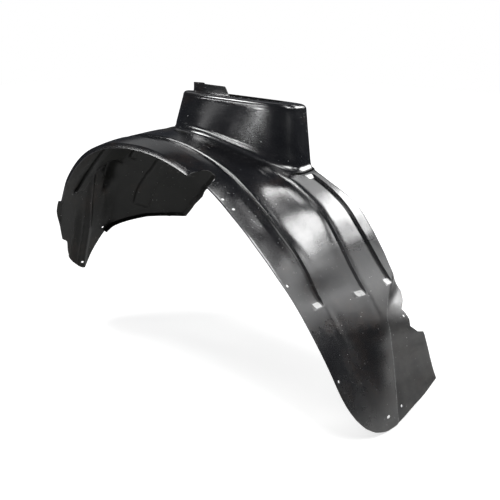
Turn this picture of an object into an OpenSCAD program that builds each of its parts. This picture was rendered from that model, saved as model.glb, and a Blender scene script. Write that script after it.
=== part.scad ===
// Front wheel arch liner: one pressed plastic sheet. It arches over the tyre,
// carries a strut tower, ends in a short nose panel and a long tail with a side wing.
// Origin: wheel axis, in the plane of the outer edge. +X runs to the tail, +Y to the
// engine side, +Z up. All sizes in millimetres.

/* [Sheet] */
// thickness of the pressed sheet
sheet = 2.4; // [1.8:0.1:4]
// radius of the outer edge at the top of the arch
arch_r = 343; // [310:1:380]
// width of the tread, outer edge to inner shoulder
arch_w = 250; // [225:1:280]

/* [Outer edge] */
// height of the lip turned down along the front half of the outer edge
lip_h = 9; // [4:0.5:14]
// width of the flat strip beside the outer edge
strip_w = 38; // [37:1:42]
// depth of the notch cut in the outer edge
notch_d = 34; // [20:1:34]
// depth of the flange turned down along the inner rim
flange_h = 13; // [6:0.5:15]

/* [Channels] */
// depth of the three pressed channels
chan_d = 5.5; // [3:0.5:8]
// width of the channel nearest the outer edge
chan_w = 30; // [24:1:32]
// width of the two inner channels
chan_w2 = 26; // [20:1:28]

/* [Strut tower] */
// length of the tower at its foot, along the car
tower_l = 314; // [298:1:318]
// width of the tower at its foot, across the car
tower_w = 120; // [106:1:130]
// height of the crown over the wheel axis
tower_z = 427; // [405:1:450]
// radius of the crown's rounded rim
rim_r = 10; // [6:1:14]
// length of the opening in the crown
open_l = 232; // [190:1:242]
// width of the opening in the crown
open_w = 58; // [40:1:64]
// height of the collar left at the front of the opening
collar_h = 19; // [6:1:22]

/* [Nose and wing] */
// depth of the pocket pressed outward in the nose panel
pocket_d = 13; // [6:1:18]
// how much deeper the corner under the hood is
corner_d = 20; // [0:1:24]
// depth of the two flutes below the pocket
flute_d = 4; // [0:0.5:6]
// how far the tab on the nose's outer edge stands out
tab_h = 10; // [0:1:12]
// height of the stiffening ridge in the nose panel
ridge_h = 5; // [0:0.5:7]
// slope of the wing outward from its fold, rise per unit width
wing_s = 0.25; // [0.1:0.01:0.4]

/* [Fixing holes] */
// diameter of the round fixing holes
hole_d = 6; // [4:0.5:9]
// length of the slot at the foot of the tail
slot_l = 12; // [8:1:18]

/* [Hidden] */

// the form is laid out for an arch of 343 by 250 and stretched to the chosen one
kr = arch_r / 343;
kw = arch_w / 250;

function ease(t) = let (u = min(1, max(0, t))) u * u * (3 - 2 * u);

// smooth curve through a few [position, value] keys, with no overshoot
function grade(k, i) = (k[i + 1][1] - k[i][1]) / (k[i + 1][0] - k[i][0]);
function slope(k, i) = i == 0 ? grade(k, 0) : i == len(k) - 1 ? grade(k, i - 1)
    : let (a = grade(k, i - 1), b = grade(k, i)) a * b <= 0 ? 0 : 2 * a * b / (a + b);
function seat(k, x, i = 0) = i >= len(k) - 2 || x < k[i + 1][0] ? i : seat(k, x, i + 1);
function curve(k, x0) =
    let (x = min(k[len(k) - 1][0], max(k[0][0], x0)), i = seat(k, x),
         h = k[i + 1][0] - k[i][0], t = (x - k[i][0]) / h)
    (2 * t ^ 3 - 3 * t ^ 2 + 1) * k[i][1] + (t ^ 3 - 2 * t ^ 2 + t) * h * slope(k, i)
    + (3 * t ^ 2 - 2 * t ^ 3) * k[i + 1][1] + (t ^ 3 - t ^ 2) * h * slope(k, i + 1);

// Arch profile, keyed by angle about the wheel axis: 0 at the tail, 90 at the top.
// radius of the outer edge
edge_k = [[-20, 590], [-3, 485], [7, 435], [16, 401], [24, 376], [35, 354], [48, 341.5], [69, 338],
    [90, 343], [118, 356], [134, 347], [144, 331], [162, 308], [182, 322]];
// how far the middle of the tread stands over the edge
tread_k = [[-20, -6], [-8, 8], [-1, 27], [6, 47], [15, 45], [26, 57], [34, 65], [45, 56], [52, 40],
    [60, 27], [74, 17], [90, 15], [112, 13]];
// how far the strip rises to the first channel
rise_k = [[-20, 0], [14, 2], [22, 13], [30, 17], [80, 14], [110, 9]];
// where the inner shoulder runs, and how steeply the wall falls from it
shoulder_k = [[-16, 130], [-13, 136], [-6, 153], [-1, 158], [5, 161], [10, 200], [14, 250], [20, 260],
    [30, 256], [46, 236], [56, 262], [66, 284], [86, 288], [100, 264], [112, 222], [125, 170], [182, 160]];
fall_k = [[8, 0], [12, 0.6], [18, 2.5], [30, 3], [46, 3.5], [60, 4.5], [84, 4.5], [100, 2.8], [113, 1.6],
    [125, 1.05], [182, 1]];
// where the inner rim is cut, with the ear and steps of the wing near 0 to 10
rim_k = [[-9, 255], [0.2, 246], [1.2, 243], [1.6, 228], [3.2, 212], [4.5, 216], [6.1, 216], [6.7, 214],
    [8.2, 238], [9.4, 258], [12, 270], [18, 284], [44, 276], [62, 312], [94, 322], [106, 317],
    [110.6, 312], [118, 314], [129, 320], [134, 317], [140, 310], [147, 300], [150, 271]];

// radius of the outer face at angle a and width y, before the channels
function tread_r(a, y) =
    let (rise = curve(rise_k, a), q = max(0, y - curve(shoulder_k, a)))
    curve(edge_k, a) + rise * sin(90 * min(1, max(0, y / 70)))
    + (curve(tread_k, a) - rise) * ease((y - 62) / 96)
    - curve(fall_k, a) * q * q / (q + 20) + wing_s * q * ease((10 - a) / 8);

// Pressed in the nose panel: a pocket under a rounded hood, with a deep corner, a ridge
// along its crease, two flutes below it and a tab on the outer edge.
// crease and fold are the pocket's sides, hood is the angle at which it starts
crease_k = [[130, 84], [137, 91], [141, 97], [148, 101], [182, 101]];
fold_k = [[133, 190], [137, 189], [143, 178], [153, 168], [161, 156]];
hood_k = [[86, 138], [90, 136.4], [94, 134.9], [105, 133.5], [122, 132], [140, 131.6], [159, 132.7],
    [172, 133.7], [182, 134.6], [190, 137]];
// sides of the deep corner
near_k = [[131, 127], [134, 129], [141, 137], [149, 144]];
far_k = [[135, 173], [140, 172], [145, 164], [150, 147]];
function forms(a, y) =
    let (crease = curve(crease_k, a), hood = ease((a - curve(hood_k, y)) / 2))
    pocket_d * hood * ease((170 - a) / 30) * ease((y - crease) / 9) * ease((curve(fold_k, a) - y) / 26)
    + corner_d * hood * ease((152 - a) / 12) * ease((y - curve(near_k, a)) / 4)
        * ease((curve(far_k, a) - y) / 14)
    - ridge_h * ease((a - 132) / 8) * exp(-((y - crease + 6) / 8) ^ 2)
    + flute_d * ease((a - 149) / 9) * (ease((y - 49) / 4) * ease((76 - y) / 18)
        + 0.7 * ease((y - 78) / 4) * ease((95 - y) / 10))
    + tab_h * ease(a - 144.8) * ease((157 - a) / 8) * ease((8 - y) / 8);

// Widths of the sheet lines at angle a: strip, three channels with close lines for
// their walls, shoulder, wall and rim.
c1_k = [[88, strip_w], [100, strip_w + 8], [122, strip_w + 29], [128, strip_w + 33], [133, strip_w + 31],
    [136.3, strip_w + 24], [139.7, strip_w + 15], [142.9, strip_w + 2]];
w1_k = [[88, chan_w], [122, 23], [132, 18], [137, 22], [142.9, 23]];
c2_k = [[-14, 98], [3, 104], [11, 122], [55, 122], [68, 98], [98, 98], [113, 170], [131, 177], [140, 150]];
w2_k = [[-14, 14], [11, chan_w2], [55, chan_w2], [68, 20], [98, 20], [113, 20], [131, 14], [140, 40]];
c3_k = [[-14, 117], [-6, 128], [0, 136], [5, 145], [9, 176], [12.2, 211], [20, 208], [30, 201], [47, 194],
    [49.2, 184], [60, 172], [98, 172], [113, 221], [129, 223], [136, 219], [140, 214], [145, 210], [150, 208]];
w3_k = [[-14, 9], [5, 15], [9, 21], [12.2, chan_w2], [47, chan_w2], [49.2, 48], [60, 72], [98, 72],
    [113, chan_w2 + 2]];
end_k = [[-14, 132], [-6, 152], [-1, 157], [3, 162], [6.6, 176], [9, 204], [12.2, 243], [15, 252], [20, 257],
    [30, 252], [47, 234], [49.2, 242], [60, 278], [94, 278], [104, 268], [113, 258], [129, 258], [150, 243]];
function gap(a, b, n) = [for (i = [1:n]) a + (b - a) * i / (n + 1)];
// five lines of a channel; its outer pairs close up to steep walls where the channel runs
wall_w = 1.5;
function run(a, p, q) = ease((a - p + 2.6) / 2.2) * ease((q + 2.6 - a) / 2.2);
function lane(a, w, t) = let (e = w / 4 + (wall_w - w / 4) * t) [a, a + e, a + w / 2, a + w - e, a + w];
// the notch in the outer edge: a straight cheek up, a rounded and sloping top
notch_k = [[57.7, 0], [58.5, 0.53], [59.2, 0.82], [60.2, 0.96], [61.6, 1], [63, 0.93], [64.3, 0.68],
    [65, 0.3], [65.7, 0]];
function sink(a) = notch_d * curve(notch_k, a);
function widths(a) =
    let (c1 = curve(c1_k, a), w1 = curve(w1_k, a), c2 = curve(c2_k, a), w2 = curve(w2_k, a),
         c3 = curve(c3_k, a), w3 = curve(w3_k, a), s = curve(end_k, a), n = sink(a), r = lookup(a, rim_k),
         flat = concat([0, 1.2, 14, 28], lane(c1, w1, run(a, lo, c1_nose)), gap(c1 + w1, c2, 2),
             lane(c2, w2, max(run(a, lo, c2_end), run(a, front, c2_nose))), gap(c2 + w2, c3, 2),
             lane(c3, w3, max(run(a, lo, c3_end), run(a, front, c3_nose))), gap(c3 + w3, s, 1), [s]))
    concat([for (j = [0:len(flat) - 1]) j < 5 ? n + flat[j] * (c1 - n) / c1 : flat[j]],
        [for (i = [1:4]) s + (r - s) * i / 4], [r]);

// The tail and the nose end in rounded outlines: [angle, width] of every line
// at a share u of the way from the last full station to the end.
tail_k = [[35, -11.4], [66, -13.2], [100, -14], [128, -14.1], [138, -13.8], [185, -11.9], [211, -10.9],
    [256, -8.7]];
tuck_k = [[-11.4, 35.5], [-10.6, 27], [-9.4, 17], [-8, 9.5], [-6.7, 4.5], [-5, 1.2], [-3.1, 0]];
nose_k = [[18, 162.5], [36, 165], [44, 170], [53, 173.5], [67, 176.6], [83, 179], [97, 180.2], [106, 179],
    [118, 175], [129, 171], [138, 167], [150, 164.8]];
side_k = [[0, 271], [0.28, 229], [0.6, 193], [1, 150]];
function tuck(y, n) = y < 100 ? y + n * (1 - y / 100) : y;
function tail_line(u) =
    let (w0 = widths(0), w1 = widths(-12), n = lookup(-11.4 * u, tuck_k))
    [for (j = [0:len(w0) - 1])
        [u * curve(tail_k, tuck(w1[j], 35.5)), tuck(w0[j] + (w1[j] - w0[j]) * u, n)]];
function nose_line(u) =
    let (t = ease(u / 0.3), w = widths(150) * (1 - t) + widths(154) * t, m = w[len(w) - 1],
         n = 18 * u ^ 1.5, f = lookup(u, side_k))
    [for (v = w) [150 + u * (curve(nose_k, 18 + 132 * v / m) - 150), n + (f - n) * v / m]];
function full_line(a) = [for (v = widths(a)) [a, v]];

// ends of the channels, as angles: low end, tower side, front side, nose end
lo = 12.8;
c2_end = 56.5;
c3_end = 46.8;
c1_nose = 142.9;
c2_nose = 130.3;
c3_nose = 149.8;
front = 113.8;
function around(a) = [a - 0.4, a + 0.4];
// angles of the full stations, and the two that frame the tower
at_r = 49.2;
at_l = 99.6;
mid_a = concat([0.2, 1.2, 1.6, 3.2, 4.5, 6.1, 6.7, 8.2, 9.4, 11], around(lo), [16, 19.5],
    [for (a = [23.5:4.5:42]) a], [44.8], around(c3_end), [at_r, 52.8, c2_end],
    [57.7, 59, 61.6, 64.3, 65.7],
    [for (a = [69:4.5:92]) a], [95.6, at_l, 104, 109], around(front), [119.5, 125], around(c2_nose),
    [132, 133.6, 135.2, 137, 139.7], around(c1_nose), [145.2, 147.4], [c3_nose - 0.6, c3_nose]);
tail_u = [1, 0.93, 0.83, 0.7, 0.55, 0.38, 0.2];
nose_u = [0.14, 0.28, 0.44, 0.6, 0.76, 0.9, 1];
nt = len(tail_u);
nm = len(mid_a);
lines = concat([for (u = tail_u) tail_line(u)], [for (a = mid_a) full_line(a)],
    [for (u = nose_u) nose_line(u)]);
ns = len(lines);
nc = len(lines[0]);
i_r = nt + search(at_r, mid_a)[0];
i_l = nt + search(at_l, mid_a)[0];
j_a = 15;
j_b = 24;

function between(a, p, q) = a > p && a < q;
function chan(i, j) = i < nt || i >= nt + nm ? 0
    : let (a = mid_a[i - nt])
      (j > 4 && j < 8 && between(a, lo, c1_nose))
      || (j > 11 && j < 15 && between(a, front, c2_nose))
      || (j > 18 && j < 22 && (between(a, lo, c3_end) || between(a, front, c3_nose))) ? chan_d
      : j > 11 && j < 15 && between(a, lo, c2_end) ? chan_d * ease((c2_end + 0.5 - a) / 9) : 0;

// point of the outer face, radius and width stretched to the chosen arch
function place(a, r, y) = [kr * r * cos(a), kw * y, kr * r * sin(a)];
function sheet_row(i) =
    let (l = lines[i], r = [for (j = [0:nc - 1]) tread_r(l[j][0], l[j][1]) + forms(l[j][0], l[j][1])],
         a0 = l[0][0], a9 = l[nc - 1][0],
         lip = 1 + (lip_h - 1) * ease((a0 - 65) / 2) * ease((150 - a0) / 12),
         fl = flange_h * ease((a9 - 98) / 8))
    [for (j = [0:nc - 1])
        j == 0 ? place(a0, r[1] - lip, l[0][1])
        : j == nc - 1 ? place(a9, r[nc - 2] - fl, l[j][1] + 1)
        : place(l[j][0], r[j] - chan(i, j) / kr, l[j][1])];
grid = [for (i = [0:ns - 1]) sheet_row(i)];

function unit(v) = let (n = norm(v)) n > 0 ? v / n : v;
// inner face: each point moved in by the sheet thickness, a little more at the bends
function miter(a, b) = min(1.35, 1 / sqrt(max(0.3, (1 + a * b) / 2)));
function inward(pu, nu, pv, nv, p) =
    let (ua = unit(p - pu), ub = unit(nu - p), va = unit(p - pv), vb = unit(nv - p),
         a = norm(p - pu) > 0 ? ua : ub, b = norm(nu - p) > 0 ? ub : ua,
         c = norm(p - pv) > 0 ? va : vb, d = norm(nv - p) > 0 ? vb : va)
    p + sheet * unit(cross(a + b, c + d)) * max(miter(a, b), miter(c, d));
grid_in = [for (i = [0:ns - 1]) [for (j = [0:nc - 1])
    inward(grid[max(0, i - 1)][j], grid[min(ns - 1, i + 1)][j], grid[i][max(0, j - 1)],
        grid[i][min(nc - 1, j + 1)], grid[i][j])]];

// Strut tower: rings of a rounded plan, from the tread up over the rim to the opening.
// plan: [centre x, centre y, half length, half width, turn]
foot = [88, 203, tower_l / 2, tower_w / 2, 8];
head = [74, 224, tower_l / 2 - 10, tower_w / 2 - 8, 6];
hole = [62, 229, open_l / 2, open_w / 2, 6];
function plan(p, t, off) =
    let (n = 3 + 0.9 * cos(t), s = (abs(cos(t)) ^ n + abs(sin(t)) ^ n) ^ (-1 / n),
         x = (p[2] + off) * s * cos(t), y = (p[3] + off) * s * sin(t))
    [kr * (p[0] + x * cos(p[4]) - y * sin(p[4])), kw * (p[1] + x * sin(p[4]) + y * cos(p[4]))];
// angle at which the tread lies over a point of the plan, found by closing in on it
function over(x, y, a = 80, n = 16) = n == 0 ? a
    : over(x, y, 0.35 * a + 0.65 * acos(min(1, max(-1, x / tread_r(a, y)))), n - 1);
function tread_z(p) = let (y = p[1] / kw, a = over(p[0] / kr, y)) kr * tread_r(a, y) * sin(a);
function crown_z(p) = tower_z - 0.04 * (p[0] - 76) - 0.08 * (p[1] - 224);

loop = concat([for (i = [i_r:i_l - 1]) [i, j_a]], [for (j = [j_a:j_b - 1]) [i_l, j]],
    [for (i = [i_l:-1:i_r + 1]) [i, j_b]], [for (j = [j_b:-1:j_a + 1]) [i_r, j]]);
nl = len(loop);
nr = 2 * nl;
function bearing(p) =
    let (x = p[0] / kr - foot[0], y = p[1] / kw - foot[1], c = cos(foot[4]), s = sin(foot[4]))
    atan2((y * c - x * s) / foot[3], (x * c + y * s) / foot[2]);
turn0 = [for (l = loop) bearing(grid[l[0]][l[1]])];
function closer(a, b) = b - a > 180 ? b - 360 : b - a < -180 ? b + 360 : b;
turn = [for (m = [0:nr - 1]) let (k = floor(m / 2), a = turn0[k])
    m % 2 == 0 ? a : (a + closer(a, turn0[(k + 1) % nl])) / 2];
function foot_ring(off, h) = [for (t = turn) let (p = plan(foot, t, off)) [p[0], p[1], tread_z(p) + h]];
function head_ring(off, h) = [for (t = turn) let (p = plan(head, t, off)) [p[0], p[1], crown_z(p) + h]];
wall_lo = foot_ring(0, 10);
wall_hi = head_ring(0, -rim_r);
function wall_ring(f) = [for (m = [0:nr - 1]) wall_lo[m] * (1 - f) + wall_hi[m] * f];
// the collar stands on the front part of the opening and fades out to both sides
function collar(t) = let (d = abs(closer(205, t) - 205)) collar_h * ease((62 - d) / 5);
hole_ring = [for (t = turn) let (p = plan(hole, t, 0)) [p[0], p[1], crown_z(p)]];
edge_ring = [for (t = turn) let (h = collar(t), p = plan(hole, t, -1.2))
    [p[0], p[1], crown_z(p) + max(h, -0.5) - (h > 0 ? 0 : 0.5)]];
rings = [foot_ring(9, 0), foot_ring(4.5, 1.3), foot_ring(1.5, 4.5), wall_lo, wall_ring(0.5), wall_hi,
    head_ring(-0.15 * rim_r, -0.5 * rim_r), head_ring(-0.45 * rim_r, -0.16 * rim_r),
    head_ring(-rim_r, 0), hole_ring, edge_ring];
nk = len(rings);
function before(k, m) = k > 0 ? rings[k - 1][m]
    : let (a = loop[floor(m / 2)], b = loop[(floor(m / 2) + 1) % nl])
      m % 2 == 0 ? grid[a[0]][a[1]] : (grid[a[0]][a[1]] + grid[b[0]][b[1]]) / 2;
rings_in = [for (k = [0:nk - 1]) [for (m = [0:nr - 1])
    inward(rings[k][(m + nr - 1) % nr], rings[k][(m + 1) % nr], before(k, m), rings[min(nk - 1, k + 1)][m],
        rings[k][m])]];

// points and faces of the closed shell
function flat(v) = [for (r = v) for (p = r) p];
pts = concat(flat(grid), flat(grid_in), flat(rings), flat(rings_in));
ng = ns * nc;
b0 = 2 * ng;
function g(i, j, s = 0) = s * ng + i * nc + j;
function r(k, m, s = 0) = b0 + s * nk * nr + k * nr + m % nr;
function q(k, s = 0) = let (l = loop[k % nl]) g(l[0], l[1], s);
function both(a, b, c, d, e, f) = [[a, b, c], [d, f, e]];
function skin(a, b, c, d, s) = s == 0 ? [[a, b, c], [a, c, d]] : [[a, c, b], [a, d, c]];
function tower_cut(i, j) = i >= i_r && i < i_l && j >= j_a && j < j_b;
function close(p, q, pi, qi) = [[q, p, pi], [q, pi, qi]];
faces = concat(
    [for (s = [0, 1]) for (i = [0:ns - 2]) for (j = [0:nc - 2]) if (!tower_cut(i, j))
        each skin(g(i, j, s), g(i + 1, j, s), g(i + 1, j + 1, s), g(i, j + 1, s), s)],
    [for (i = [0:ns - 2]) each close(g(i, 0), g(i + 1, 0), g(i, 0, 1), g(i + 1, 0, 1))],
    [for (i = [0:ns - 2]) each close(g(i + 1, nc - 1), g(i, nc - 1), g(i + 1, nc - 1, 1), g(i, nc - 1, 1))],
    [for (j = [0:nc - 2]) each close(g(0, j + 1), g(0, j), g(0, j + 1, 1), g(0, j, 1))],
    [for (j = [0:nc - 2]) each close(g(ns - 1, j), g(ns - 1, j + 1), g(ns - 1, j, 1), g(ns - 1, j + 1, 1))],
    [for (s = [0, 1]) for (k = [0:nl - 1])
        for (f = [[q(k, s), q(k + 1, s), r(0, 2 * k + 1, s)], [q(k, s), r(0, 2 * k + 1, s), r(0, 2 * k, s)],
            [q(k + 1, s), r(0, 2 * k + 2, s), r(0, 2 * k + 1, s)]])
            s == 0 ? f : [f[0], f[2], f[1]]],
    [for (s = [0, 1]) for (k = [0:nk - 2]) for (m = [0:nr - 1])
        each skin(r(k, m, s), r(k, m + 1, s), r(k + 1, m + 1, s), r(k + 1, m, s), s)],
    [for (m = [0:nr - 1]) each close(r(nk - 1, m + 1), r(nk - 1, m), r(nk - 1, m + 1, 1), r(nk - 1, m, 1))]);

// Fixing holes: [angle, width] on the sheet, each punched square to it. The pair
// beside the notch is punched in one direction, square to the sheet midway between them.
pair = [[51.3, 8], [46.7, 12]];
holes = [[19.9, 9], [-2.3, 11], [-11.4, 152], [5.5, 209], [177.5, 92], [163, 146]];
slot_at = [-12, 109];
function face_at(h) = let (a = h[0], y = h[1]) place(a, tread_r(a, y) + forms(a, y), y);
function square_to(h) = unit(cross(face_at(h + [0, 1]) - face_at(h), face_at(h + [0.5, 0]) - face_at(h)));
module along(p, v) {
    translate(p) rotate([0, acos(v[2]), atan2(v[1], v[0])]) children();
}
module drill(h, v) {
    along(face_at(h), v) translate([0, 0, -12]) cylinder(h = 24, d = hole_d, $fn = 24);
}

module slot(l, d) {
    for (s = [-1, 1]) translate([s * (l - d) / 2, 0, -12]) cylinder(h = 24, d = d, $fn = 24);
    translate([-(l - d) / 2, -d / 2, -12]) cube([l - d, d, 24]);
}

module arch_liner() {
    color([0.07, 0.07, 0.075])
    difference() {
        polyhedron(pts, faces, convexity = 12);
        for (h = pair) drill(h, square_to((pair[0] + pair[1]) / 2));
        for (h = holes) drill(h, square_to(h));
        along(face_at(slot_at), square_to(slot_at)) slot(slot_l, hole_d);
    }
}

arch_liner();
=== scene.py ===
"""Front wheel arch liner, one pressed sheet of black plastic, dressed for the camera."""
import math

import bmesh
import bpy
import numpy as np
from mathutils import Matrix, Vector


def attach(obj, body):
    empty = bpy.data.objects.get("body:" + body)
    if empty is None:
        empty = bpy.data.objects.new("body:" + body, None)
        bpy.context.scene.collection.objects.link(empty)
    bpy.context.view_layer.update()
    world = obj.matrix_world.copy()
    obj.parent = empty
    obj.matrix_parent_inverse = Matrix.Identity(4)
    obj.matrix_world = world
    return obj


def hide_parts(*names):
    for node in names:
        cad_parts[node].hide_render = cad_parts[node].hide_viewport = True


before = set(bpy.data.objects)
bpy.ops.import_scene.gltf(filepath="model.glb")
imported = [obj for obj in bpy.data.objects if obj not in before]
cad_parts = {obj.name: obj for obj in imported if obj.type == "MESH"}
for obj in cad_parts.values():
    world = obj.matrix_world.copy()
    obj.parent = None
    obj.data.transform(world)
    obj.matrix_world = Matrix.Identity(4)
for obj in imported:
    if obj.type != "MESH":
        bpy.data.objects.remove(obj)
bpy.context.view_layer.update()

# The tread
# The sheet is drawn hot over a mould, so every form is a smooth rise or sink of one
# surface. It is laid out by angle about the wheel axis (degrees: 0 at the tail, 90 at
# the top) and by width from the outer edge (millimetres).
MM = 0.001
SHEET = 2.4
CHANNEL_DEPTH = 5.5
CHANNEL_WALL = 1.8
LIP_H = 9
LIP_FROM, LIP_TO = 65, 150
FLANGE_H = 13
STRIP_W = 70
MIDDLE_FROM, MIDDLE_W = 62, 96
SHOULDER_ROUND = 20
WING_SLOPE = 0.25

# Places in degrees, with the values there in millimetres; the shoulder's fall is a slope.
EDGE_RADIUS = [(-20, 590), (-3, 485), (7, 435), (16, 401), (24, 376), (35, 354), (48, 341.5), (69, 338),
               (90, 343), (118, 356), (134, 347), (144, 331), (162, 308), (182, 322)]
TREAD_RISE = [(-20, -6), (-8, 8), (-1, 27), (6, 47), (15, 45), (26, 57), (34, 65), (45, 56), (52, 40),
              (60, 27), (74, 17), (90, 15), (112, 13)]
STRIP_RISE = [(-20, 0), (14, 2), (22, 13), (30, 17), (80, 14), (110, 9)]
SHOULDER = [(-16, 130), (-13, 136), (-6, 153), (-1, 158), (5, 161), (10, 200), (14, 250), (20, 260),
            (30, 256), (46, 236), (56, 262), (66, 284), (86, 288), (100, 264), (112, 222), (125, 170),
            (182, 160)]
SHOULDER_FALL = [(8, 0), (12, 0.6), (18, 2.5), (30, 3), (46, 3.5), (60, 4.5), (84, 4.5), (100, 2.8),
                 (113, 1.6), (125, 1.05), (182, 1)]
INNER_RIM = [(-9, 255), (0.2, 246), (1.2, 243), (1.6, 228), (3.2, 212), (4.5, 216), (6.1, 216),
             (6.7, 214), (8.2, 238), (9.4, 258), (12, 270), (18, 284), (44, 276), (62, 312), (94, 322),
             (106, 317), (110.6, 312), (118, 314), (129, 320), (134, 317), (140, 310), (147, 300),
             (150, 271)]


def ease(t):
    """Soft step from 0 to 1: three times the square less twice the cube, flat outside."""
    u = np.clip(t, 0, 1)
    return u * u * (3 - 2 * u)


def curve(keys, x):
    """Smooth curve through (place, value) keys: cubic pieces whose slope at a key is the
    harmonic mean of the slopes on both sides, or nothing at a peak, so none overshoots."""
    place, value = np.array(keys, float).T
    x = np.clip(x, place[0], place[-1])
    grade = np.diff(value) / np.diff(place)
    pair = grade[:-1] * grade[1:]
    total = np.where(pair > 0, grade[:-1] + grade[1:], 1)
    slope = np.concatenate([grade[:1], np.where(pair > 0, 2 * pair / total, 0), grade[-1:]])
    i = np.clip(np.searchsorted(place, x, side="right") - 1, 0, len(place) - 2)
    h = place[i + 1] - place[i]
    t = (x - place[i]) / h
    return ((2 * t**3 - 3 * t**2 + 1) * value[i] + (t**3 - 2 * t**2 + t) * h * slope[i]
            + (3 * t**2 - 2 * t**3) * value[i + 1] + (t**3 - t**2) * h * slope[i + 1])


def straight(keys, x):
    """Straight lines through (place, value) keys."""
    place, value = np.array(keys, float).T
    return np.interp(x, place, value)


def tread_radius(a, y):
    """Radius of the outer face: edge, rise of the strip, rise of the middle, then the
    fall past the shoulder, or the wing's slope outward near the tail."""
    rise = curve(STRIP_RISE, a)
    past = np.maximum(0, y - curve(SHOULDER, a))
    return (curve(EDGE_RADIUS, a) + rise * np.sin(np.radians(90 * np.clip(y / STRIP_W, 0, 1)))
            + (curve(TREAD_RISE, a) - rise) * ease((y - MIDDLE_FROM) / MIDDLE_W)
            - curve(SHOULDER_FALL, a) * past * past / (past + SHOULDER_ROUND)
            + WING_SLOPE * past * ease((10 - a) / 8))


# The nose's forms
# The nose panel has a pocket pressed outward with a deep corner under its hood, a ridge along
# its crease, two flutes and a tab. Places in degrees give widths in millimetres; the hood
# alone gives the angle over the width.
POCKET_DEPTH, CORNER_DEPTH, RIDGE_HEIGHT, FLUTE_DEPTH, TAB_HEIGHT = 13, 20, 5, 4, 10
CREASE = [(130, 84), (137, 91), (141, 97), (148, 101), (182, 101)]
HOOD = [(86, 138), (90, 136.4), (94, 134.9), (105, 133.5), (122, 132), (140, 131.6), (159, 132.7),
        (172, 133.7), (182, 134.6), (190, 137)]
FOLD = [(133, 190), (137, 189), (143, 178), (153, 168), (161, 156)]
CORNER_LEFT = [(131, 127), (134, 129), (141, 137), (149, 144)]
CORNER_RIGHT = [(135, 173), (140, 172), (145, 164), (150, 147)]


def nose_forms(a, y):
    """Rise of the nose's forms above the plain tread: pocket, corner, flutes and tab outward,
    ridge inward."""
    crease = curve(CREASE, a)
    hood = ease((a - curve(HOOD, y)) / 2)
    pocket = (POCKET_DEPTH * hood * ease((170 - a) / 30) * ease((y - crease) / 9)
              * ease((curve(FOLD, a) - y) / 26))
    corner = (CORNER_DEPTH * hood * ease((152 - a) / 12) * ease((y - curve(CORNER_LEFT, a)) / 4)
              * ease((curve(CORNER_RIGHT, a) - y) / 14))
    ridge = RIDGE_HEIGHT * ease((a - 132) / 8) * np.exp(-(((y - crease + 6) / 8) ** 2))
    first = ease((y - 49) / 4) * ease((76 - y) / 18)
    second = 0.7 * ease((y - 78) / 4) * ease((95 - y) / 10)
    flutes = FLUTE_DEPTH * ease((a - 149) / 9) * (first + second)
    tab = TAB_HEIGHT * ease(a - 144.8) * ease((157 - a) / 8) * ease((8 - y) / 8)
    return pocket + corner - ridge + flutes + tab


# The lines along the sheet
# Key lines run from tail to nose along the lip, the strip, the three channels, the shoulder
# and the rim, with fine lines between them. All channels start at the angle LOW, and two of
# them stop at the tower and start again past it, at FRONT.
LOW = 12.8
C1_NOSE, C2_NOSE, C3_NOSE = 142.9, 130.3, 149.8
C2_END, C3_END, FRONT = 56.5, 46.8, 113.8
END_RAMP = 0.75
RUN_OUT, RUN_EASE = 2.6, 2.2
C1_PLACE = [(88, 38), (100, 46), (122, 67), (128, 71), (133, 69), (136.3, 62), (139.7, 53),
            (142.9, 40)]
C1_WIDTH = [(88, 30), (122, 23), (132, 18), (137, 22), (142.9, 23)]
C2_PLACE = [(-14, 98), (3, 104), (11, 122), (55, 122), (68, 98), (98, 98), (113, 170),
            (131, 177), (140, 150)]
C2_WIDTH = [(-14, 14), (11, 26), (55, 26), (68, 20), (98, 20), (113, 20),
            (131, 14), (140, 40)]
C3_PLACE = [(-14, 117), (-6, 128), (0, 136), (5, 145), (9, 176), (12.2, 211), (20, 208), (30, 201),
            (47, 194), (49.2, 184), (60, 172), (98, 172), (113, 221), (129, 223), (136, 219),
            (140, 214), (145, 210), (150, 208)]
C3_WIDTH = [(-14, 9), (5, 15), (9, 21), (12.2, 26), (47, 26), (49.2, 48), (60, 72), (98, 72),
            (113, 28)]
LAST_LINE = [(-14, 132), (-6, 152), (-1, 157), (3, 162), (6.6, 176), (9, 204), (12.2, 243), (15, 252),
             (20, 257), (30, 252), (47, 234), (49.2, 242), (60, 278), (94, 278), (104, 268),
             (113, 258), (129, 258), (150, 243)]
# How deep the notch is cut in the outer edge: a straight cheek up, a rounded and sloping top.
NOTCH = [(57.7, 0), (58.5, 18), (59.2, 28), (60.2, 32.5), (61.6, 34), (63, 31.5), (64.3, 23), (65, 10),
         (65.7, 0)]
# How many steps the sheet takes from each key line to the next.
FINE = [4, 4, 4, 3, 4, 4, 4, 4, 5, 5, 5, 4, 3, 3, 4, 4, 4, 4, 4, 3, 3, 4, 3, 3, 4, 4, 4, 3]


def run(a, start, end):
    """1 while a channel runs between two angles, easing to 0 just past its ends."""
    return ease((a - start + RUN_OUT) / RUN_EASE) * ease((end + RUN_OUT - a) / RUN_EASE)


def lane(place, width, share):
    """Five key lines of a channel, whose outer pairs close up to its walls."""
    edge = width / 4 + (CHANNEL_WALL - width / 4) * share
    return [place, place + edge, place + width / 2, place + width - edge, place + width]


def spread(a, b, n):
    """n lines evenly between two."""
    return [a + (b - a) * i / (n + 1) for i in range(1, n + 1)]


def lip_share(a):
    """1 from the notch to the nose, where the lip stands tall, easing to 0 past both."""
    return ease((a - LIP_FROM) / 2) * ease((LIP_TO - a) / 12)


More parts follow.
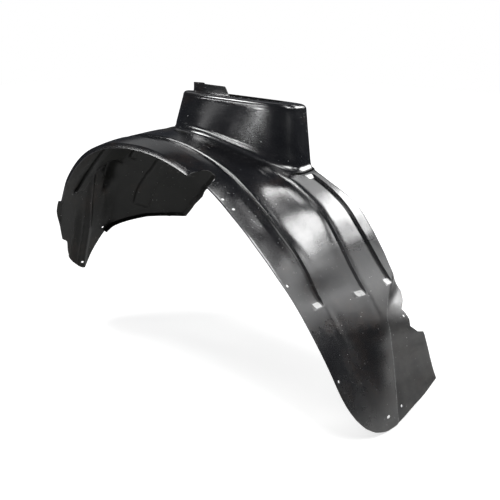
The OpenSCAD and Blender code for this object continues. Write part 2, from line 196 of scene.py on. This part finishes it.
def key_lines(a):
    """Widths of the 29 key lines at angles a: lip, strip, channels, shoulder, wall, rim."""
    one = np.ones_like(a)
    c1, w1 = curve(C1_PLACE, a), curve(C1_WIDTH, a)
    c2, w2, c3, w3 = (curve(k, a) for k in (C2_PLACE, C2_WIDTH, C3_PLACE, C3_WIDTH))
    last, rim = curve(LAST_LINE, a), straight(INNER_RIM, a)
    notch = np.maximum(curve(NOTCH, a), 0)
    lip_w = 1.2 + 2.8 * lip_share(a)
    outer = [0 * one, lip_w, 14 * one, 28 * one, c1]
    outer = [notch + v * (c1 - notch) / c1 for v in outer]
    first = lane(c1, w1, run(a, LOW, C1_NOSE))[1:]
    second = lane(c2, w2, np.maximum(run(a, LOW, C2_END), run(a, FRONT, C2_NOSE)))
    third = lane(c3, w3, np.maximum(run(a, LOW, C3_END), run(a, FRONT, C3_NOSE)))
    return np.stack(outer + first + spread(first[-1], c2, 2) + second + spread(second[-1], c3, 2)
                    + third + spread(third[-1], last, 1) + [last] + spread(last, rim, 3) + [rim], -1)


def fine_lines(keys):
    """Key lines with the fine lines between them."""
    parts = [keys[..., j:j + 1] + (keys[..., j + 1:j + 2] - keys[..., j:j + 1]) * np.arange(n) / n
             for j, n in enumerate(FINE)]
    return np.concatenate(parts + [keys[..., -1:]], -1)


def trough(y, place, width):
    """1 on a channel's floor, easing to 0 up its two walls."""
    return ease((y - place) / CHANNEL_WALL) * ease((place + width - y) / CHANNEL_WALL)


def length(a, start, end):
    """1 along a channel, with a straight ramp to 0 at both ends."""
    return (np.clip((a - start + END_RAMP) / (2 * END_RAMP), 0, 1)
            * np.clip((end + END_RAMP - a) / (2 * END_RAMP), 0, 1))


def channel_depth(a, y):
    """Depth of the three channels: walls that ease down over CHANNEL_WALL, ends that ramp
    down over END_RAMP degrees, and a second channel that fades out towards the tower."""
    fade = length(a, LOW, C2_END + 2) * ease((C2_END + 0.5 - a) / 9)
    second = np.maximum(fade, length(a, FRONT, C2_NOSE))
    third = np.maximum(length(a, LOW, C3_END), length(a, FRONT, C3_NOSE))
    return CHANNEL_DEPTH * (trough(y, curve(C1_PLACE, a), curve(C1_WIDTH, a)) * length(a, LOW, C1_NOSE)
                            + trough(y, curve(C2_PLACE, a), curve(C2_WIDTH, a)) * second
                            + trough(y, curve(C3_PLACE, a), curve(C3_WIDTH, a)) * third)


def paint_end_highlights(a, y):
    """How much painted highlight the channels' ends get, standing in for light on their end walls: 1 amid
    a ramp, 0 beside it.
    """
    painted_highlights = np.zeros_like(a)
    for place, width, end in ((C1_PLACE, C1_WIDTH, LOW), (C2_PLACE, C2_WIDTH, LOW),
                              (C3_PLACE, C3_WIDTH, LOW), (C3_PLACE, C3_WIDTH, C3_END)):
        part = np.clip((a - end + END_RAMP) / (2 * END_RAMP), 0, 1)
        start, wide = curve(place, a), curve(width, a)
        painted_highlights += 4 * part * (1 - part) * trough(y, start + 0.2 * wide, 0.65 * wide)
    return painted_highlights


# The tail and the nose
# Their outlines are the angle at which the sheet ends over its width, and how far the outer
# edge tucks in or the rim draws back on the way there.
TAIL_END = [(35, -11.4), (66, -13.2), (100, -14), (128, -14.1), (138, -13.8), (185, -11.9),
            (211, -10.9), (256, -8.7)]
TAIL_TUCK = [(-11.4, 35.5), (-10.6, 27), (-9.4, 17), (-8, 9.5), (-6.7, 4.5), (-5, 1.2), (-3.1, 0)]
NOSE_END = [(18, 162.5), (36, 165), (44, 170), (53, 173.5), (67, 176.6), (83, 179), (97, 180.2),
            (106, 179), (118, 175), (129, 171), (138, 167), (150, 164.8)]
NOSE_SIDE = [(0, 271), (0.28, 229), (0.6, 193), (1, 150)]
NOSE_FROM = 150.0


def tuck(y, n):
    """Moves widths inward by n at the outer edge, fading to nothing at 100."""
    return np.where(y < 100, y + n * (1 - y / 100), y)


def tail_part(u):
    """Angles and widths of the fine lines at shares u of the way to the tail's end."""
    u = u[:, None]
    near, far = (fine_lines(key_lines(np.array([v])))[0] for v in (0.0, -12.0))
    corner_a, corner_y = TAIL_TUCK[0]
    turn_in = straight(TAIL_TUCK, corner_a * u)
    return u * curve(TAIL_END, tuck(far, corner_y)), tuck(near + (far - near) * u, turn_in)


def nose_part(u):
    """Angles and widths of the fine lines at shares u of the way to the nose's end."""
    u = u[:, None]
    near, far = (fine_lines(key_lines(np.array([v])))[0] for v in (NOSE_FROM, NOSE_FROM + 4))
    share = near + (far - near) * ease(u / 0.3)
    share = share / share[:, -1:]
    tip_outer, tip_inner = NOSE_END[0][0], NOSE_END[-1][0]
    tip = curve(NOSE_END, tip_outer + (tip_inner - tip_outer) * share)
    start = tip_outer * u ** 1.5
    return NOSE_FROM + u * (tip - NOSE_FROM), start + (straight(NOSE_SIDE, u) - start) * share


# The sheet's outer face
# Stations across the sheet crowd at the channel ends, the notch's cheeks and the rim's
# corners. The tail, the middle and the nose join into one net, then the outer lip turns down,
# and past the tower's top the flange turns in along the rim.
TOWER_RIGHT, TOWER_LEFT = 49.2, 99.6
ends = [e + s for e in (LOW, C2_END, C3_END, C1_NOSE, C2_NOSE, C3_NOSE - 0.2, FRONT)
        for s in END_RAMP * np.linspace(-1, 1, 7)]
cheeks = [*np.arange(57.5, 59.6, 0.16), *np.arange(63.6, 65.9, 0.14), *(p for p, _ in INNER_RIM[1:-2])]
mid = np.unique(np.round([*np.arange(0.4, NOSE_FROM, 0.95), *ends, *cheeks, TOWER_RIGHT, TOWER_LEFT], 2))
mid = mid[np.concatenate([[True], np.diff(mid) > 0.04])]
tail_a, tail_y = tail_part(1 - np.linspace(0, 1, 27)[:-1] ** 1.25)
nose_a, nose_y = nose_part(np.linspace(0, 1, 31)[1:])
mid_y = fine_lines(key_lines(mid))
angle = np.concatenate([tail_a, np.repeat(mid[:, None], mid_y.shape[1], 1), nose_a])
width = np.concatenate([tail_y, mid_y, nose_y])
is_mid = np.zeros(angle.shape)
is_mid[len(tail_a):len(tail_a) + len(mid)] = 1

radius = tread_radius(angle, width) + nose_forms(angle, width) - channel_depth(angle, width) * is_mid
# The painted highlight on the channels' ends, carried on the points.
painted_end_highlight = paint_end_highlights(angle, width) * is_mid
past_fold = width - curve(SHOULDER, angle)

# The lip falls away over the width before the first key line, and bulges a little outward.
lip = 1 + (LIP_H - 1) * lip_share(angle[:, :1])
down = 1 - np.arange(FINE[0] + 1) / FINE[0]
radius[:, :FINE[0] + 1] -= lip * down ** 1.1
width[:, :FINE[0]] -= (width[:, 1:2] - width[:, :1]) * 0.8 * down[:-1] * (1 - down[:-1])

# Three rows past the rim make the flange.
rim_drop = FLANGE_H * ease((angle[:, -1:] - 98) / 8)
turned = np.array([0.25, 0.6, 1.0])
angle = np.concatenate([angle, np.repeat(angle[:, -1:], 3, 1)], 1)
radius = np.concatenate([radius, radius[:, -1:] - rim_drop * turned ** 1.3 - 0.02], 1)
width = np.concatenate([width, width[:, -1:] + 0.6 * turned], 1)
painted_end_highlight, past_fold = (np.concatenate([v, np.repeat(v[:, -1:], 3, 1)], 1)
                       for v in (painted_end_highlight, past_fold))


def place(a, r, y):
    """Points in metres: radius and angle turn in the plane of the wheel, width along +Y."""
    t = np.radians(a)
    return np.stack([r * np.cos(t), y, r * np.sin(t)], -1) * MM


sheet = place(angle, radius, width)

# The strut tower
# A rounded tower that grows out of the tread over the strut. Its foot and crown are rounded
# plans, joined by a drafted wall; the crown is cut open, with a collar left at the front.
# Each plan: centre x and y, half length, half width, degrees turned.
FOOT = (88, 203, 157, 60, 8)
HEAD = (74, 224, 147, 52, 6)
MOUTH = (62, 229, 116, 29, 6)
CROWN_Z = 427
FOOT_RADIUS = 13
RIM_RADIUS = 10
MOUTH_ROUND = 4
COLLAR_H = 19
COLLAR_AT, COLLAR_REACH = 205, 64


def plan(form, t, out):
    """Rounded plan at bearings t, moved out. It lies between an ellipse and a rectangle: x and y
    to a power between 2.1 and 3.9 add up to one. It is then stretched, turned and centred."""
    cx, cy, half_l, half_w, turned = form
    c, s, n = np.cos(t), np.sin(t), 3 + 0.9 * np.cos(t)
    reach = (np.abs(c) ** n + np.abs(s) ** n) ** (-1 / n)
    x, y = (half_l + out) * reach * c, (half_w + out) * reach * s
    ca, sa = math.cos(math.radians(turned)), math.sin(math.radians(turned))
    return cx + x * ca - y * sa, cy + x * sa + y * ca


def tread_height(x, y):
    """Height of the tread over a point of the plan, by closing in on its angle."""
    a = np.full_like(x, 80.0)
    for _ in range(24):
        a = 0.35 * a + 0.65 * np.degrees(np.arccos(np.clip(x / tread_radius(a, y), -1, 1)))
    return tread_radius(a, y) * np.sin(np.radians(a))


def crown_height(x, y):
    """Height of the crown, which falls towards the tail and the engine side."""
    return CROWN_Z - 0.04 * (x - 76) - 0.08 * (y - 224)


right = len(tail_a) + int(np.argmin(abs(mid - TOWER_RIGHT)))
left = len(tail_a) + int(np.argmin(abs(mid - TOWER_LEFT)))
near_line, far_line = sum(FINE[:15]), sum(FINE[:24])
around = np.array([*((i, near_line) for i in range(right, left)),
                   *((left, j) for j in range(near_line, far_line)),
                   *((i, far_line) for i in range(left, right, -1)),
                   *((right, j) for j in range(far_line, near_line, -1))])
seat = sheet[around[:, 0], around[:, 1]] / MM
ca, sa = math.cos(math.radians(FOOT[4])), math.sin(math.radians(FOOT[4]))
dx, dy = seat[:, 0] - FOOT[0], seat[:, 1] - FOOT[1]
bearing = np.unwrap(np.arctan2((dy * ca - dx * sa) / FOOT[3], (dx * ca + dy * sa) / FOOT[2]))
even = bearing[0] + (bearing[-1] - bearing[0]) * np.linspace(0, 1, len(bearing))
bearing = 0.5 * bearing + 0.5 * even


def foot_ring(out, up):
    """Ring about the tower's foot, moved out from its plan and up from the tread."""
    x, y = plan(FOOT, bearing, out)
    return np.stack([x, y, tread_height(x, y) + up], -1)


def head_ring(form, out, up):
    """Ring about a plan of the crown, moved out from it and up from the crown."""
    x, y = plan(form, bearing, out)
    return np.stack([x, y, crown_height(x, y) + up], -1)


skirt_x, skirt_y = plan(FOOT, bearing, FOOT_RADIUS)
rings = []
for f in (0.2, 0.42, 0.65, 0.85, 1.0):
    x, y = seat[:, 0] + (skirt_x - seat[:, 0]) * f, seat[:, 1] + (skirt_y - seat[:, 1]) * f
    rings.append(np.stack([x, y, tread_height(x, y)], -1))
for t in np.radians(np.linspace(10, 80, 8)):
    rings.append(foot_ring(FOOT_RADIUS * (1 - math.sin(t)), FOOT_RADIUS * (1 - math.cos(t))))
wall_low, wall_high = foot_ring(-0.2, FOOT_RADIUS + 0.5), head_ring(HEAD, 0, -RIM_RADIUS)
rings += [wall_low + (wall_high - wall_low) * f for f in np.linspace(0, 1, 15)]
for t in np.radians(np.linspace(10, 90, 9)):
    rings.append(head_ring(HEAD, -RIM_RADIUS * (1 - math.cos(t)), -RIM_RADIUS * (1 - math.sin(t))))
crown_edge, mouth_edge = head_ring(HEAD, -RIM_RADIUS, 0), head_ring(MOUTH, MOUTH_ROUND, 0)
rings += [crown_edge + (mouth_edge - crown_edge) * f for f in (0.25, 0.5, 0.75, 1)]

# The collar stands in front, to both sides of its bearing; the saw left the rest uneven.
off_front = np.abs((np.degrees(bearing) - COLLAR_AT + 180) % 360 - 180)
collar = COLLAR_H * ease((COLLAR_REACH - off_front) / 7)
rough = 0.7 * np.sin(bearing * 41) + 0.5 * np.sin(bearing * 73 + 1) + 0.4 * np.sin(bearing * 127 + 2)
cut = collar + np.where(collar > 1, 0.9, 0.8) * rough * ease((60 - np.abs(off_front - 130)) / 20 + 0.4)
for t in (0.12, 0.3, 0.55, 0.8, 1.0):
    out = MOUTH_ROUND - 5 * math.sin(min(1, t * 2.4) * math.pi / 2)
    ring = head_ring(MOUTH, out, 0)
    ring[:, 2] += (cut * t ** 1.3) * ease((t - 0.05) / 0.5)
    rings.append(ring)
tower = np.array(rings) * MM

# The solid sheet
# Tread and tower are stitched into one surface, which is given its thickness inward and then
# drilled: a pair of screw holes by the notch, six single ones and a slot.
rows, cols = angle.shape
count = rows * cols
i, j = np.meshgrid(np.arange(rows - 1), np.arange(cols - 1), indexing="ij")
keep = ~((i >= right) & (i < left) & (j >= near_line) & (j < far_line))
corner = (i * cols + j)[keep]
quads = [np.stack([corner, corner + cols, corner + cols + 1, corner + 1], -1)]
ring_n = len(around)
k = np.arange(ring_n)
loops = np.concatenate([[around[:, 0] * cols + around[:, 1]],
                        count + np.arange(len(tower))[:, None] * ring_n + k])
for inner, outer in zip(loops[:-1], loops[1:]):
    quads.append(np.stack([inner, np.roll(inner, -1), np.roll(outer, -1), outer], -1))
quads = np.concatenate(quads)[:, ::-1]
points = np.concatenate([sheet.reshape(-1, 3), tower.reshape(-1, 3)])


def fill(mesh, points, quads):
    """Puts points and four-sided faces into a mesh as whole arrays."""
    mesh.vertices.add(len(points))
    mesh.vertices.foreach_set("co", points.ravel())
    mesh.loops.add(quads.size)
    mesh.loops.foreach_set("vertex_index", quads.ravel())
    mesh.polygons.add(len(quads))
    mesh.polygons.foreach_set("loop_start", np.arange(0, quads.size, 4))
    mesh.polygons.foreach_set("loop_total", np.full(len(quads), 4))
    mesh.update(calc_edges=True)
    mesh.validate()


mesh = bpy.data.meshes.new("arch_liner_sheet")
fill(mesh, points, quads)
# The painted highlight on the channels' ends and the width past the fold go on the points.
for label, drawn, beside in (("painted_end_highlight", painted_end_highlight, 0), ("past_fold", past_fold, 99)):
    values = np.concatenate([drawn.ravel(), np.full(len(points) - drawn.size, beside)])
    mesh.attributes.new(label, "FLOAT", "POINT").data.foreach_set("value", values)
build = bmesh.new()
build.from_mesh(mesh)
loose = [v for v in build.verts if not v.link_faces]
bmesh.ops.delete(build, geom=loose, context="VERTS")
build.to_mesh(mesh)
build.free()
for _ in ("outer face", "inner face", "saw cut"):
    mesh.materials.append(None)
liner = bpy.data.objects.new("arch_liner_sheet", mesh)
bpy.context.scene.collection.objects.link(liner)
thick = liner.modifiers.new("sheet", "SOLIDIFY")
thick.thickness = SHEET * MM
thick.offset = -1
thick.material_offset = 1
thick.material_offset_rim = 2
thick.use_even_offset = False

PAIR = [(51.3, 8), (46.7, 12)]
HOLES = [(19.9, 9), (-2.3, 11), (-11.4, 152), (5.5, 209), (177.5, 92), (163, 146)]
SLOT = (-12, 109)
HOLE_D, SLOT_L = 6, 12
PUNCH_REACH, PUNCH_SIDES = 0.009, 32


def face_at(a, y):
    """Point of the plain outer face, without channels."""
    a, y = np.array(a, float), np.array(y, float)
    return place(a, tread_radius(a, y) + nose_forms(a, y), y)


def square_to(a, y):
    """Direction out of the sheet: across the steps along its width and along its angle."""
    n = np.cross(face_at(a, y + 1) - face_at(a, y), face_at(a + 0.5, y) - face_at(a, y))
    return Vector(n / np.linalg.norm(n))


cutter = bmesh.new()


def punch(a, y, way, long=0.0):
    """Adds a round punch, or one with straight sides for a slot, to the cutter."""
    t = np.linspace(0, 2 * np.pi, PUNCH_SIDES, endpoint=False)
    x = HOLE_D / 2 * np.cos(t) + np.where(np.cos(t) >= 0, long, -long)
    turn = way.to_track_quat("Z", "Y")
    centre = Vector(face_at(a, y))
    low, high = ([cutter.verts.new(centre + turn @ Vector((u * MM, v * MM, h)))
                  for u, v in zip(x, HOLE_D / 2 * np.sin(t))] for h in (-PUNCH_REACH, PUNCH_REACH))
    for m in range(PUNCH_SIDES):
        after = (m + 1) % PUNCH_SIDES
        cutter.faces.new([low[m], low[after], high[after], high[m]])
    cutter.faces.new(low[::-1])
    cutter.faces.new(high)


pair_way = square_to(*np.mean(PAIR, 0))
for hole in PAIR:
    punch(*hole, pair_way)
for hole in HOLES:
    punch(*hole, square_to(*hole))
punch(*SLOT, square_to(*SLOT), (SLOT_L - HOLE_D) / 2)
punches = bpy.data.meshes.new("punches")
cutter.to_mesh(punches)
cutter.free()
tool = bpy.data.objects.new("punches", punches)
bpy.context.scene.collection.objects.link(tool)
drill = liner.modifiers.new("holes", "BOOLEAN")
drill.operation = "DIFFERENCE"
drill.solver = "EXACT"
drill.object = tool
bpy.context.view_layer.update()
solid = bpy.data.meshes.new_from_object(liner.evaluated_get(bpy.context.evaluated_depsgraph_get()))
liner.modifiers.clear()
liner.data = solid
bpy.data.objects.remove(tool)
solid.polygons.foreach_set("use_smooth", np.ones(len(solid.polygons), bool))
solid.set_sharp_from_angle(angle=math.radians(40))
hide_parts("arch_liner")
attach(liner, "root")

# The finish
# Black polypropylene, glossy where it touched the mould and dull inside, with a pale saw cut
# all round. Dust, scuffs and a brown film lie over it, and the outer face has painted highlights:
# white on the channels' ends and a thin line along the fold.
OUTER_BLACK, OUTER_SHEEN = (0.0048, 0.005, 0.0058, 1), 0.2
INNER_BLACK, INNER_SHEEN = (0.0085, 0.0088, 0.0076, 1), 0.42
CUT_BLACK, CUT_SHEEN = (0.045, 0.045, 0.046, 1), 0.5
# A sheen is a roughness: 0 mirrors and 1 is dull. A gloss is an index of refraction.
OUTER_GLOSS, PLAIN_GLOSS = 1.65, 1.45
BROWN = (0.045, 0.030, 0.022, 1)
GREY_DUST = (0.055, 0.053, 0.048, 1)
# Pale white of the dust specks, which also colours the painted highlights.
SPECK_AND_HIGHLIGHT_WHITE = (0.75, 0.75, 0.74, 1)
GRAIN_HEIGHT = 0.0002

weathering_and_highlights = bpy.data.node_groups.new("sheet_weathering_and_highlights", "ShaderNodeTree")
for label, kind in (("Black", "Color"), ("Brown", "Color"), ("Grey Dust", "Color"),
                    ("Specks And Highlights", "Color"), ("Sheen", "Float"), ("Grain", "Float"), ("Highlight Share", "Float")):
    weathering_and_highlights.interface.new_socket(label, in_out="INPUT", socket_type="NodeSocket" + kind)
for label, kind in (("Colour", "Color"), ("Sheen", "Float"), ("Normal", "Vector")):
    weathering_and_highlights.interface.new_socket(label, in_out="OUTPUT", socket_type="NodeSocket" + kind)


def node(kind, **settings):
    """Adds a node to the finish; a setting names a property, or an input with _ for a space."""
    made = weathering_and_highlights.nodes.new("ShaderNode" + kind)
    for key, value in settings.items():
        if hasattr(made, key):
            setattr(made, key, value)
        else:
            made.inputs[key.replace("_", " ")].default_value = value
    return made


def mask(source, none, full):
    """0 at the value none and beyond it, 1 at the value full and beyond, straight between."""
    made = node("MapRange", From_Min=none, From_Max=full)
    weathering_and_highlights.links.new(source, made.inputs["Value"])
    return made.outputs["Result"]


def reckon(operation, *values):
    """Arithmetic on one or two values, each a plain number or an output."""
    made = node("Math", operation=operation)
    for socket, value in zip(made.inputs, values):
        if isinstance(value, float):
            socket.default_value = value
        else:
            weathering_and_highlights.links.new(value, socket)
    return made.outputs[0]


def times(a, b):
    """Product of two values."""
    return reckon("MULTIPLY", a, b)


def laid_over(share, below, above):
    """Colour below, covered by the colour above where the share is 1."""
    made = node("Mix", data_type="RGBA")
    weathering_and_highlights.links.new(share, made.inputs["Factor"])
    weathering_and_highlights.links.new(below, made.inputs["A"])
    weathering_and_highlights.links.new(above, made.inputs["B"])
    return made.outputs["Result"]


given, given_out = weathering_and_highlights.nodes.new("NodeGroupInput"), weathering_and_highlights.nodes.new("NodeGroupOutput")
where = node("TexCoord").outputs["Object"]
axes = node("SeparateXYZ")
weathering_and_highlights.links.new(where, axes.inputs[0])
along, across, up = (axes.outputs[axis] for axis in "XYZ")


def noise(scale, detail, stretch=(1, 1, 1)):
    """Noise whose patches are about one metre over scale wide, longer along an axis whose
    stretch is under one."""
    turn = node("Mapping", Scale=stretch)
    weathering_and_highlights.links.new(where, turn.inputs["Vector"])
    made = node("TexNoise", Scale=scale, Detail=detail, Roughness=0.6)
    weathering_and_highlights.links.new(turn.outputs[0], made.inputs["Vector"])
    return made.outputs["Fac"]


def specks(scale, size):
    """Round specks: within size of a cell's point, in the cells whose colour is bright."""
    made = node("TexVoronoi", Scale=scale)
    weathering_and_highlights.links.new(where, made.inputs["Vector"])
    return times(mask(made.outputs["Distance"], size, size * 0.5), mask(made.outputs["Color"], 0.45, 0.75))


# Brown film in soft patches, scuffs drawn out along the car, and specks of pale dust.
film = times(mask(noise(7, 4), 0.5, 0.72), mask(noise(60, 3), 0.3, 0.7))
scuffs = times(mask(noise(160, 3, (0.25, 1, 1)), 0.62, 0.75), mask(noise(9, 2), 0.5, 0.65))
fine_dust = times(specks(140, 0.1), mask(noise(14, 2), 0.42, 0.6))
worn = reckon("MAXIMUM", reckon("MAXIMUM", specks(60, 0.06), fine_dust), times(scuffs, 0.12))

# Grey dust has settled at the tail: more the lower down, and all over the wing.
tail_side = mask(along, 0.3, 0.36)
on_wing = times(mask(across, 0.13, 0.17), mask(up, 0.13, 0.09))
settled = reckon("MAXIMUM", times(mask(up, 0.05, -0.14), 0.6), on_wing)
at_tail = times(settled, tail_side)
grey = times(at_tail, mask(noise(45, 5), 0.2, 0.75))

# Painted highlights: white on the channels' ends, and a thin bright line along the fold between tail and
# wing.
end_highlight_attribute = node("Attribute", attribute_name="painted_end_highlight").outputs["Fac"]
past_line = node("Attribute", attribute_name="past_fold").outputs["Fac"]
end_highlight_mask = times(mask(end_highlight_attribute, 0.2, 0.5), mask(noise(300, 2), 0.25, 0.4))
on_fold = times(mask(reckon("ABSOLUTE", past_line), 1.2, 0.5), mask(up, 0.09, 0.08))
painted_fold_glint = times(times(on_fold, mask(noise(260, 2), 0.3, 0.7)), 0.3)
painted_highlights = times(reckon("MAXIMUM", end_highlight_mask, painted_fold_glint), given.outputs["Highlight Share"])

# Film, grey dust and specks are the sheet's own colour; the last layer is painted highlight.
colour = given.outputs["Black"]
for share, cover in ((film, "Brown"), (grey, "Grey Dust"), (worn, "Specks And Highlights"), (painted_highlights, "Specks And Highlights")):
    colour = laid_over(share, colour, given.outputs[cover])
weathering_and_highlights.links.new(colour, given_out.inputs["Colour"])

# The sheen is patchy, and duller on scuffs, on dust and on the lower slope.
patchy = node("MapRange", From_Min=0.3, From_Max=0.7, To_Min=-0.05, To_Max=0.07)
weathering_and_highlights.links.new(noise(22, 4), patchy.inputs["Value"])
on_slope = times(mask(up, 0.2, 0.13), mask(up, 0.03, 0.1))
dusted = reckon("MAXIMUM", at_tail, times(on_slope, tail_side))
sheen = given.outputs["Sheen"]
for dulling in (patchy.outputs[0], times(scuffs, 0.25), times(dusted, 0.2)):
    sheen = reckon("ADD", sheen, dulling)
weathering_and_highlights.links.new(sheen, given_out.inputs["Sheen"])

grain = node("Bump", Distance=GRAIN_HEIGHT)
weathering_and_highlights.links.new(noise(300, 2), grain.inputs["Height"])
weathering_and_highlights.links.new(given.outputs["Grain"], grain.inputs["Strength"])
weathering_and_highlights.links.new(grain.outputs[0], given_out.inputs["Normal"])


def plastic(name, black, sheen, grain, gloss, highlight_share):
    """One face of the sheet: the finish on a plastic, which reflects twice as much where it has
    the outer face's gloss."""
    made = bpy.data.materials.new(name)
    made.use_nodes = True
    tree = made.node_tree
    surface = tree.nodes.new("ShaderNodeGroup")
    surface.node_tree = weathering_and_highlights
    for key, value in (("Black", black), ("Brown", BROWN), ("Grey Dust", GREY_DUST),
                       ("Specks And Highlights", SPECK_AND_HIGHLIGHT_WHITE), ("Sheen", sheen), ("Grain", grain), ("Highlight Share", highlight_share)):
        surface.inputs[key].default_value = value
    shader = tree.nodes["Principled BSDF"]
    shader.inputs["IOR"].default_value = gloss
    shader.inputs["Specular IOR Level"].default_value = 1 if gloss == OUTER_GLOSS else 0.5
    tree.links.new(surface.outputs["Colour"], shader.inputs["Base Color"])
    tree.links.new(surface.outputs["Sheen"], shader.inputs["Roughness"])
    tree.links.new(surface.outputs["Normal"], shader.inputs["Normal"])
    return made


# Only the outer face takes the painted highlights.
solid.materials[0] = plastic("black_plastic_outer_face", OUTER_BLACK, OUTER_SHEEN, 0.5, OUTER_GLOSS, 1)
solid.materials[1] = plastic("black_plastic_inner_face", INNER_BLACK, INNER_SHEEN, 0.5, PLAIN_GLOSS, 0)
solid.materials[2] = plastic("black_plastic_saw_cut", CUT_BLACK, CUT_SHEEN, 0.8, PLAIN_GLOSS, 0)

# The studio
# A pale floor lies under a surround that is white to the camera and dim to the sheet, so that
# the black plastic reflects little but eleven plain area lamps. They stand on the engine side,
# towards the tail, overhead, beyond the nose and low on the outer side.
FLOOR_Z = -0.137
FLOOR_REACH = 6
FLOOR_PALE = (0.75, 0.75, 0.74, 1)
SURROUND = (0.04, 0.043, 0.052, 1)
WHITE = (1, 1, 1, 1)
AIM = Vector((0.1, 0.1, 0.25))
# Name, degrees round from +Y towards +X, degrees up, metres away, width, height, brightness.
LAMPS = [
    ("rear", 19, 27, 3.0, 1.4, 0.95, 8),
    ("edge", -4, 37, 3.0, 1.3, 0.6, 1.8),
    ("tail", 104, 50, 3.0, 1.3, 1.1, 8.5),
    ("top", 86, 78, 3.0, 0.7, 0.6, 7),
    ("fill", 66, 37, 3.0, 0.9, 0.7, 4),
    ("spot", 54, 61, 3.0, 0.3, 0.3, 4),
    ("left", -50, 38, 3.0, 2.0, 1.6, 0.35),
    ("strip", -163, 26, 2.4, 0.3, 0.16, 20),
    ("low", -150, 13, 2.4, 1.45, 0.22, 12),
    ("side", -118, 57, 2.4, 0.6, 0.5, 18),
    ("soft", -138, 42, 2.4, 0.35, 0.4, 0.9),
]

floor = bpy.data.meshes.new("floor")
corners = [(x * FLOOR_REACH, y * FLOOR_REACH, FLOOR_Z) for x, y in ((-1, -1), (1, -1), (1, 1), (-1, 1))]
floor.from_pydata(corners, [], [(0, 1, 2, 3)])
ground = bpy.data.objects.new("floor", floor)
bpy.context.scene.collection.objects.link(ground)

# To the camera the floor also glows: at 0.6 up to 0.9 m from the origin, at 1 past 2.4 m.
pale = bpy.data.materials.new("pale_floor")
pale.use_nodes = True
tree = pale.node_tree
floor_shader = tree.nodes["Principled BSDF"]
floor_shader.inputs["Base Color"].default_value = FLOOR_PALE
floor_shader.inputs["Roughness"].default_value = 0.9
glow = tree.nodes.new("ShaderNodeEmission")
glow.inputs["Color"].default_value = WHITE
path = tree.nodes.new("ShaderNodeLightPath")
both = tree.nodes.new("ShaderNodeAddShader")
strength = tree.nodes.new("ShaderNodeMath")
strength.operation = "MULTIPLY"
distance = tree.nodes.new("ShaderNodeVectorMath")
distance.operation = "LENGTH"
tree.links.new(tree.nodes.new("ShaderNodeTexCoord").outputs["Object"], distance.inputs[0])
far_off = tree.nodes.new("ShaderNodeMapRange")
for key, value in (("From Min", 0.9), ("From Max", 2.4), ("To Min", 0.6), ("To Max", 1)):
    far_off.inputs[key].default_value = value
tree.links.new(distance.outputs["Value"], far_off.inputs["Value"])
tree.links.new(path.outputs["Is Camera Ray"], strength.inputs[0])
tree.links.new(far_off.outputs["Result"], strength.inputs[1])
tree.links.new(strength.outputs[0], glow.inputs["Strength"])
tree.links.new(floor_shader.outputs[0], both.inputs[0])
tree.links.new(glow.outputs[0], both.inputs[1])
tree.links.new(both.outputs[0], tree.nodes["Material Output"].inputs["Surface"])
floor.materials.append(pale)

world = bpy.data.worlds.new("studio")
bpy.context.scene.world = world
world.use_nodes = True
tree = world.node_tree
tree.nodes["Background"].inputs["Color"].default_value = SURROUND
white = tree.nodes.new("ShaderNodeBackground")
white.inputs["Color"].default_value = WHITE
path = tree.nodes.new("ShaderNodeLightPath")
seen = tree.nodes.new("ShaderNodeMixShader")
tree.links.new(path.outputs["Is Camera Ray"], seen.inputs[0])
tree.links.new(tree.nodes["Background"].outputs[0], seen.inputs[1])
tree.links.new(white.outputs[0], seen.inputs[2])
tree.links.new(seen.outputs[0], tree.nodes["World Output"].inputs["Surface"])

for name, azimuth, height, far, wide, tall, level in LAMPS:
    lamp = bpy.data.lights.new(name, "AREA")
    lamp.shape = "RECTANGLE"
    lamp.size, lamp.size_y = wide, tall
    lamp.energy = level * math.pi * wide * tall
    turn, rise = math.radians(azimuth), math.radians(height)
    way = Vector((math.sin(turn) * math.cos(rise), math.cos(turn) * math.cos(rise), math.sin(rise)))
    stand = bpy.data.objects.new(name, lamp)
    stand.location = AIM + way * far
    stand.rotation_euler = way.to_track_quat("Z", "Y").to_euler()
    bpy.context.scene.collection.objects.link(stand)

# The camera
# It stands where the camera fitted to the photograph stood, on the outer side towards the
# tail and a little above the tower.
camera = bpy.data.cameras.new("camera")
camera.lens = 56.6
camera.sensor_width = 36
eye = bpy.data.objects.new("camera", camera)
eye.location = (1.1628, -1.0437, 0.6023)
eye.rotation_euler = (math.radians(73), 0, math.radians(40))
bpy.context.scene.collection.objects.link(eye)
bpy.context.scene.camera = eye
bpy.context.scene.view_settings.view_transform = "Standard"
